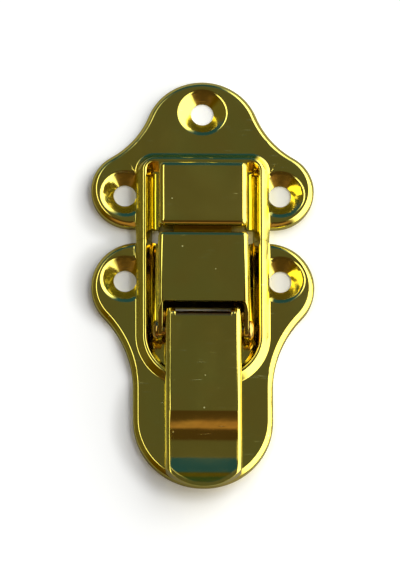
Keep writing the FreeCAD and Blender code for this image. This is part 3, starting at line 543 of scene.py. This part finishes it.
@dataclass
class DishedPlate(SheetPiece):
    """A dished plate: soft rim, rolled dimples, a raised frame with a round crest, and a soft-sided well."""

    flat_height: float = 2.5
    flat_normal_z: float = 0.999
    rim_foot_height: float = 1.5
    crest_height: float = 4.0
    well_height: float = 0.95
    well_half_width: float = 11.25
    dimples: tuple[tuple[float, float], ...] = ()
    dimple_radius: float = 5.3
    rim_width: float = 0.30
    dimple_width: float = 0.50
    crest_width: float = 0.30
    frame_foot_width: float = 0.25
    well_foot_width: float = 1.0
    dimple_segments: int = 5
    frame_segments: int = 3
    rim_segments: int = 3
    well_segments: int = 6
    rim_turn: float = 42.0
    well_turns: tuple[float, float] = (55.0, 75.0)
    border_width: float = 0.52
    frame_half_width: float = 14.9
    frame_slack: float = 0.05
    frame_gap: float = 0.15
    dimple_slack: float = 0.12
    middle_half_width: float = 6.0
    hood_half_width: float = 10.3
    parting_y: float = 9.6
    parting_slack: float = 0.1

    def prepare(self) -> None:
        """Insets a narrow border round the flat, so that its outer edges are rounded evenly.

        The flat inside the border is taken out and filled again once the border's corners are mended.
        """
        bpy.ops.object.mode_set(mode="EDIT")
        bpy.ops.mesh.select_mode(type="FACE")
        bpy.ops.mesh.select_all(action="DESELECT")
        mesh = bpy.context.active_object.data
        form = bmesh.from_edit_mesh(mesh)
        for face in form.faces:
            off = abs(face.verts[0].co.z / MM - self.flat_height)
            if face.normal.z > self.flat_normal_z and off < HEIGHT_SLACK:
                face.select_set(True)
        bmesh.update_edit_mesh(mesh)
        bpy.ops.mesh.inset(thickness=self.border_width * MM, use_boundary=True, use_even_offset=True)
        form = bmesh.from_edit_mesh(mesh)
        flat = [face for face in form.faces if face.select]
        bmesh.ops.delete(form, geom=flat, context="FACES_KEEP_BOUNDARY")
        while turned := self.turned_edges(form):
            bmesh.ops.collapse(form, edges=turned, uvs=False)
        outline = [edge for edge in form.edges if edge.is_boundary]
        bmesh.ops.triangle_fill(form, edges=outline, use_beauty=True, normal=(0.0, 0.0, 1.0))
        bmesh.update_edit_mesh(mesh)
        bpy.ops.object.mode_set(mode="OBJECT")

    @staticmethod
    def turned_edges(form: bmesh.types.BMesh) -> list[bmesh.types.BMEdge]:
        """Inner edges of the border that the inset turned round, at corners tighter than the border is wide.

        Args:
            form: Mesh that is open inside its border.

        Returns:
            The open edges that run against the outer ones.
        """
        turned = []
        for edge in form.edges:
            if not edge.is_boundary or len(edge.link_faces[0].verts) != 4:
                continue
            near = edge.link_loops[0]
            far = near.link_loop_next.link_loop_next
            inner, outer = (loop.link_loop_next.vert.co - loop.vert.co for loop in (near, far))
            if inner.dot(outer) > 0:
                turned.append(edge)
        return turned

    def beside_hood(self, edge: EdgeView) -> bool:
        """Whether an edge runs where the hood's plateau joins the frame.

        Args:
            edge: Edge to judge.

        Returns:
            Whether it does.
        """
        return edge.far_x < self.hood_half_width and edge.high.y > 0

    def on_parting(self, edge: EdgeView) -> bool:
        """Whether an edge bounds the faces that meet at the parting line.

        Args:
            edge: Edge to judge.

        Returns:
            Whether it does.
        """
        off = max(abs(edge.low.y - self.parting_y), abs(edge.high.y - self.parting_y))
        return off < self.parting_slack

    def on_dimple(self, edge: EdgeView) -> bool:
        """Whether an edge of the flat runs round one of the dimples.

        Args:
            edge: Edge to judge.

        Returns:
            Whether it does.
        """
        near = min(abs(edge.distance(place) - self.dimple_radius) for place in self.dimples)
        beside = edge.near_x > self.frame_half_width + self.frame_gap
        clear = beside or abs(edge.low.x) < self.middle_half_width
        return edge.level(self.flat_height) and near < self.dimple_slack and clear

    def on_frame_foot(self, edge: EdgeView) -> bool:
        """Whether an edge runs where the frame rises from the flat.

        Args:
            edge: Edge to judge.

        Returns:
            Whether it does.
        """
        inside = edge.far_x < self.frame_half_width + self.frame_slack
        return edge.level(self.flat_height) and inside and not self.on_dimple(edge)

    def on_well_foot(self, edge: EdgeView) -> bool:
        """Whether an edge runs where the well's straight side wall meets its floor.

        Args:
            edge: Edge to judge.

        Returns:
            Whether it does.
        """
        least, most = self.well_turns
        beside = edge.near_x > self.well_half_width
        return beside and edge.level(self.well_height, least) and edge.turn < most

    def on_rim(self, edge: EdgeView) -> bool:
        """Whether an edge bounds the rim's slope.

        Args:
            edge: Edge to judge.

        Returns:
            Whether it does.
        """
        level = any(edge.level(height, self.rim_turn) for height in (self.flat_height, self.rim_foot_height))
        return level and not self.on_dimple(edge)

    def on_crest(self, edge: EdgeView) -> bool:
        """Whether an edge bounds the crest of the frame.

        Args:
            edge: Edge to judge.

        Returns:
            Whether it does.
        """
        return edge.level(self.crest_height) and not (self.beside_hood(edge) or self.on_parting(edge))

    def on_cut_edge(self, edge: EdgeView) -> bool:
        """Whether an edge is a sharp one that shows from above, away from the parting line.

        Args:
            edge: Edge to judge.

        Returns:
            Whether it is.
        """
        return super().on_cut_edge(edge) and not (self.beside_hood(edge) or self.on_parting(edge))

    def soft_edges(self) -> list[SoftEdge]:
        """Kinds of edge in the order in which they are rounded.

        Returns:
            Dimples, frame crest, frame foot, the well's foot, rim, and the sheet's cut edges.
        """
        return [
            SoftEdge(self.dimple_width, self.dimple_segments, self.on_dimple),
            SoftEdge(self.crest_width, self.frame_segments, self.on_crest),
            SoftEdge(self.frame_foot_width, self.frame_segments, self.on_frame_foot),
            SoftEdge(self.well_foot_width, self.well_segments, self.on_well_foot),
            SoftEdge(self.rim_width, self.rim_segments, self.on_rim),
            *super().soft_edges(),
        ]


@dataclass
class KeeperPlate(DishedPlate):
    """Upper plate with crown, two lobes, hood and hook."""

    node: str = "keeper_plate"
    dimples: tuple[tuple[float, float], ...] = ((0.0, 40.6), (-17.4, 21.1), (17.4, 21.1))


@dataclass
class BasePlate(DishedPlate):
    """Lower plate with a round foot, two lobes and the lever's ears."""

    node: str = "base_plate"
    dimples: tuple[tuple[float, float], ...] = ((0.0, -36.63), (-17.4, 0.75), (17.4, 0.75))


@dataclass
class Lever(SheetPiece):
    """Folded channel with a trough and an upturned finger lip."""

    node: str = "lever"
    body: Body = Body.LEVER
    cut_edge_width: float = 0.12
    flat_height: float = 8.2
    sole_height: float = 4.2
    web_half_width: float = 7.6
    slope_start_y: float = -31.7
    slope_end_y: float = -39.45
    slope_deg: float = 40.0
    brow_radius: float = 2.2
    sole_radius: float = 6.0
    slope_cuts: int = 10
    swing_share: float = 0.5
    least_fall: float = 0.05

    def slope_height(self, y: float) -> float:
        """Height of the web along the slope of two bends and the straight between them.

        Args:
            y: Place along the lever, in millimetres.

        Returns:
            The height, in millimetres.
        """
        turn = math.radians(self.slope_deg)
        fallen, left = self.slope_start_y - y, y - self.slope_end_y
        if fallen < self.brow_radius * math.sin(turn):
            return self.flat_height - self.brow_radius + math.sqrt(self.brow_radius ** 2 - fallen ** 2)
        if left < self.sole_radius * math.sin(turn):
            return self.sole_height + self.sole_radius - math.sqrt(self.sole_radius ** 2 - left ** 2)
        straight = left - self.sole_radius * math.sin(turn)
        return self.sole_height + self.sole_radius * (1 - math.cos(turn)) + straight * math.tan(turn)

    def swing(self, y: float) -> float:
        """Rise that turns the slope's straight part into one long soft bend.

        Args:
            y: Place along the lever, in millimetres.

        Returns:
            The rise over the slope's own height, in millimetres.
        """
        share = (self.slope_start_y - y) / (self.slope_start_y - self.slope_end_y)
        wave = self.sole_height + (self.flat_height - self.sole_height) * (1 + math.cos(math.pi * share)) / 2
        return self.swing_share * (wave - self.slope_height(y))

    def prepare(self) -> None:
        """Cuts the slope of the trough into strips and bends them softly."""
        piece = bpy.context.active_object
        bpy.ops.object.mode_set(mode="EDIT")
        length = self.slope_start_y - self.slope_end_y
        for number in range(1, self.slope_cuts):
            bpy.ops.mesh.select_all(action="SELECT")
            y = self.slope_start_y - length * number / self.slope_cuts
            bpy.ops.mesh.bisect(plane_co=(0.0, y * MM, 0.0), plane_no=(0.0, 1.0, 0.0))
        bpy.ops.object.mode_set(mode="OBJECT")
        for vert in piece.data.vertices:
            x, y, z = vert.co / MM
            if abs(x) > self.web_half_width or not self.slope_end_y < y < self.slope_start_y:
                continue
            fall = max(self.flat_height - self.slope_height(y), self.least_fall)
            depth = (self.flat_height - z) / fall
            vert.co.z += self.swing(y) * min(1.0, max(0.0, depth)) * MM


@dataclass
class DrawPlate(SheetPiece):
    """Folded channel whose closed end turns down into the claw."""

    node: str = "draw_plate"
    body: Body = Body.DRAW_PLATE
    cut_edge_width: float = 0.12


@dataclass
class LeverPin(SheetPiece):
    """Pin pressed into the ears of the base plate."""

    node: str = "lever_pin"
    slot: Slot = Slot.PINS
    cut_edge_width: float = 0.06


@dataclass
class DrawRivet(SheetPiece):
    """Rivet that joins the draw plate to one flange of the lever, with a domed head."""

    body: Body = Body.LEVER
    slot: Slot = Slot.PINS
    cut_edge_width: float = 0.28
    cut_edge_turn: float = 30.0
    cut_edge_segments: int = 4
    head_inner_x: float = 10.25

    def soft_edges(self) -> list[SoftEdge]:
        """Kinds of edge in the order in which they are rounded.

        Returns:
            The edges of the head.
        """
        def on_head(edge: EdgeView) -> bool:
            """Whether an edge runs round the outside of the head.

            Args:
                edge: Edge to judge.

            Returns:
                Whether it does.
            """
            return edge.turn > self.cut_edge_turn and edge.near_x > self.head_inner_x

        return [SoftEdge(self.cut_edge_width, self.cut_edge_segments, on_head)]


@dataclass
class Pivots:
    """The lever's pin and both rivets of the draw plate."""

    sides: tuple[str, str] = ("left", "right")

    def build(self, material: bpy.types.Material) -> list[bpy.types.Object]:
        """Builds the pin and the rivets.

        Args:
            material: Finish of the turned pieces.

        Returns:
            The pieces.
        """
        rivets = [DrawRivet(f"draw_rivet_{side}").build(material) for side in self.sides]
        return [LeverPin().build(material), *rivets]


@dataclass
class Table:
    """Pale sheet under the latch, small enough that the latch's sides see the room over its edges.

    The sheet's half sizes are in metres. The painted shadow, where the camera's fill is left out, is in
    millimetres:
    discs of x, y and radius, and the width over which the fill comes back.
    """

    half_width: float = 0.056
    half_length: float = 0.078
    colour: Colour = (0.97, 0.975, 0.98)
    fill_colour: Colour = (0.97, 0.985, 1.0)
    roughness: float = 0.9
    specular: float = 0.1
    background_share: float = 0.26
    # Painted shade in the metal's reflections: the share of the table's colour that glossy rays see.
    glossy_painted_shade_share: float = 0.35
    painted_shadow_fade: float = 4.5
    # Painted shadow: discs round the latch, set off a little to the left, where the camera's fill is left
    # out.
    painted_shadow_discs: tuple[tuple[float, float, float], ...] = (
        (-18.5, 20.0, 7.5), (15.5, 20.0, 7.0), (-18.5, 0.0, 8.5), (15.5, 0.0, 7.5),
        (-4.0, 10.0, 16.0), (-2.5, -12.0, 15.0), (-2.0, -33.0, 15.5))

    def build(self) -> bpy.types.Object:
        """Builds the table top.

        Returns:
            The table's object.
        """
        bpy.ops.object.select_all(action="DESELECT")
        bpy.ops.mesh.primitive_plane_add(size=2.0, location=(0, 0, 0))
        table = bpy.context.active_object
        table.data.transform(Matrix.Diagonal((self.half_width, self.half_length, 1.0, 1.0)))
        table.name = "table"
        table.data.materials.append(self._material())
        return table

    def _material(self) -> bpy.types.Material:
        """Matt white, filled up to the background's white for the camera, except close round the latch, where
        leaving the fill out paints a shadow; the metal's reflections see it darker, as painted shade.

        Returns:
            The material.
        """
        material = bpy.data.materials.new("table_top")
        material.use_nodes = True
        nodes = Nodes(material.node_tree)
        shader = material.node_tree.nodes["Principled BSDF"]
        path = nodes.add("LightPath").outputs
        # Painted shade: rays reflected off the metal see the table darker than it is.
        dim = tuple(part * self.glossy_painted_shade_share for part in self.colour)
        nodes.link(nodes.blend(path["Is Glossy Ray"], self.colour, dim), shader.inputs["Base Color"])
        shader.inputs["Roughness"].default_value = self.roughness
        shader.inputs["Specular IOR Level"].default_value = self.specular
        shader.inputs["Emission Color"].default_value = (*self.fill_colour, 1.0)
        seen = nodes.math("MAXIMUM", path["Is Camera Ray"], path["Is Transmission Ray"])
        # The fill is left out round the latch, which paints a shadow on the table there.
        fill = nodes.math("MULTIPLY", self._outside_painted_shadow(nodes), self.background_share)
        nodes.link(nodes.math("MULTIPLY", seen, fill), shader.inputs["Emission Strength"])
        return material

    def _outside_painted_shadow(self, nodes: Nodes) -> bpy.types.NodeSocket:
        """Mask of the painted shadow: 0 under the latch and beside its shaded edges, and 1 away from it.

        Args:
            nodes: Helper of the table's material.

        Returns:
            The mask's socket.
        """
        place = nodes.add("TexCoord").outputs["Object"]
        gap: object = 1.0
        for x, y, radius in self.painted_shadow_discs:
            centre = (x * MM, y * MM, 0.0)
            apart = nodes.feed(nodes.add("VectorMath", operation="DISTANCE"), i0=place, i1=centre)
            gap = nodes.math("MINIMUM", nodes.math("SUBTRACT", apart.outputs["Value"], radius * MM), gap)
        return nodes.step(gap, 0.0, self.painted_shadow_fade * MM)


@dataclass(frozen=True)
class LightField:
    """A soft field of light in the room, by compass direction and height above the table in degrees."""

    colour: Colour
    toward: float
    half_width: float
    low: float
    high: float
    side_fade: float = 20.0
    end_fade: float = 8.0

    def edges(self) -> tuple[float, float, float, float, float, float]:
        """Cosines of the side edges and sines of the lower and upper edges, each outer or lower one first.

        Returns:
            Six numbers.
        """
        sides = (min(180.0, self.half_width + self.side_fade), self.half_width)
        ends = (self.low - self.end_fade, self.low, self.high, self.high + self.end_fade)
        cosines = (math.cos(math.radians(side)) for side in sides)
        return (*cosines, *(math.sin(math.radians(end)) for end in ends))


@dataclass
class Studio:
    """Soft room: dim overhead, a wide bright field at the right, and coloured fields round the rest.

    A field's colour is added to the ceiling's, so a negative part darkens that part.
    """

    ceiling: Colour = (0.095, 0.096, 0.082)
    background: Colour = (1.0, 1.0, 1.0)
    fields: tuple[LightField, ...] = (
        LightField((2.7, 2.7, 2.55), 12.0, 45.0, -10.0, 57.0, end_fade=9.0),
        LightField((2.5, 2.5, 2.3), 160.0, 38.0, 53.0, 61.0, end_fade=4.0),
        LightField((0.03, 0.015, -0.03), 168.0, 45.0, -30.0, 34.0),
        LightField((-0.078, -0.018, 0.20), 90.0, 32.0, -30.0, 60.0, end_fade=5.0),
        LightField((-0.03, -0.055, -0.06), 270.0, 60.0, -30.0, 72.0),
        LightField((0.36, 0.19, 0.12), 270.0, 24.0, 22.0, 30.0, side_fade=30.0, end_fade=6.0),
    )

    def build(self) -> None:
        """Builds the room as the scene's world."""
        world = bpy.data.worlds.new("studio_room")
        bpy.context.scene.world = world
        world.use_nodes = True
        nodes = Nodes(world.node_tree)
        direction = nodes.add("TexCoord").outputs["Generated"]
        group = self._field_group()
        red, green, blue = self.ceiling
        total = nodes.feed(nodes.add("CombineXYZ"), i0=red, i1=green, i2=blue).outputs[0]
        for light in self.fields:
            mask = nodes.add("Group")
            mask.node_tree = group
            turn = math.radians(light.toward)
            nodes.feed(mask, Direction=direction, Toward=(math.cos(turn), math.sin(turn), 0.0))
            for label, value in zip(FIELD_EDGES, light.edges()):
                mask.inputs[label].default_value = value
            scaled = nodes.feed(nodes.add("VectorMath", operation="SCALE"), i0=light.colour)
            nodes.link(mask.outputs["Value"], scaled.inputs["Scale"])
            joined = nodes.feed(nodes.add("VectorMath", operation="ADD"), i0=total, i1=scaled.outputs[0])
            total = joined.outputs[0]
        seen = nodes.add("LightPath").outputs["Is Camera Ray"]
        colour = nodes.blend(seen, total, self.background)
        nodes.feed(world.node_tree.nodes["Background"], Color=colour, Strength=1.0)
        bpy.context.scene.view_settings.view_transform = "Standard"

    @staticmethod
    def _field_group() -> bpy.types.NodeTree:
        """Mask of one light field.

        Returns:
            The node group.
        """
        tree = bpy.data.node_groups.new("light_field", "ShaderNodeTree")
        for label in ("Direction", "Toward"):
            tree.interface.new_socket(label, in_out="INPUT", socket_type="NodeSocketVector")
        for label in FIELD_EDGES:
            tree.interface.new_socket(label, in_out="INPUT", socket_type="NodeSocketFloat")
        tree.interface.new_socket("Value", in_out="OUTPUT", socket_type="NodeSocketFloat")
        nodes, entry, leave = Nodes(tree), tree.nodes.new("NodeGroupInput"), tree.nodes.new("NodeGroupOutput")
        given = entry.outputs
        flat = nodes.feed(nodes.add("VectorMath", operation="MULTIPLY"), i0=given["Direction"],
                          i1=(1.0, 1.0, 0.0))
        compass = nodes.feed(nodes.add("VectorMath", operation="NORMALIZE"), i0=flat.outputs[0])
        facing = nodes.feed(nodes.add("VectorMath", operation="DOT_PRODUCT"), i0=compass.outputs[0],
                            i1=given["Toward"])
        height = nodes.feed(nodes.add("SeparateXYZ"), Vector=given["Direction"]).outputs["Z"]
        side = nodes.step(facing.outputs["Value"], given["Side Out"], given["Side In"])
        above = nodes.step(height, given["Low Out"], given["Low In"])
        below = nodes.math("SUBTRACT", 1.0, nodes.step(height, given["High In"], given["High Out"]))
        nodes.link(nodes.math("MULTIPLY", side, nodes.math("MULTIPLY", above, below)), leave.inputs["Value"])
        return tree


@dataclass
class PhotoCamera:
    """Camera above the lever's end of the latch, far off and with a long lens."""

    toward: tuple[float, float, float] = (-0.026, -0.3555, 1.0)
    target: tuple[float, float, float] = (-0.58 * MM, 0.08 * MM, 0.0)
    distance: float = 3.0
    frame_height: float = 127.7 * MM
    roll_deg: float = 0.14
    sensor_width: float = 36.0
    clip: tuple[float, float] = (0.01, 10.0)

    def build(self) -> bpy.types.Object:
        """Builds the camera and makes it the scene's.

        Returns:
            The camera.
        """
        data = bpy.data.cameras.new("photo_camera")
        camera = bpy.data.objects.new("photo_camera", data)
        bpy.context.scene.collection.objects.link(camera)
        data.sensor_width = self.sensor_width
        data.lens = data.sensor_width * self.distance / self.frame_height
        back = Vector(self.toward).normalized()
        up = Vector((0.0, 1.0, 0.0))
        up = (up - back * up.dot(back)).normalized()
        right = up.cross(back)
        roll = Matrix.Rotation(math.radians(-self.roll_deg), 3, "Z")
        turned = Matrix((right, up, back)).transposed() @ roll
        camera.matrix_world = Matrix.Translation(Vector(self.target) + back * self.distance) @ turned.to_4x4()
        data.clip_start, data.clip_end = self.clip
        data.dof.use_dof = False
        bpy.context.scene.camera = camera
        return camera


def main() -> None:
    """Builds the studio and every piece of the latch."""
    logging.basicConfig(level=logging.INFO, format="%(name)s: %(message)s")
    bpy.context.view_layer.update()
    PhotoCamera().build()
    Studio().build()
    Table().build()
    effects = SurfaceEffects()
    sheet = BrassPlating("sheet_plating").build(effects)
    pins = BrassPlating("pin_plating", colour=(0.66, 0.44, 0.10), warm_colour=(0.60, 0.38, 0.09),
                        roughness=0.15, ripple_depth=0.05 * MM).build(effects)
    for assembly in (KeeperPlate(), BasePlate(), Lever(), DrawPlate()):
        assembly.build(sheet)
    Pivots().build(pins)


if __name__ == "__main__":
    main()
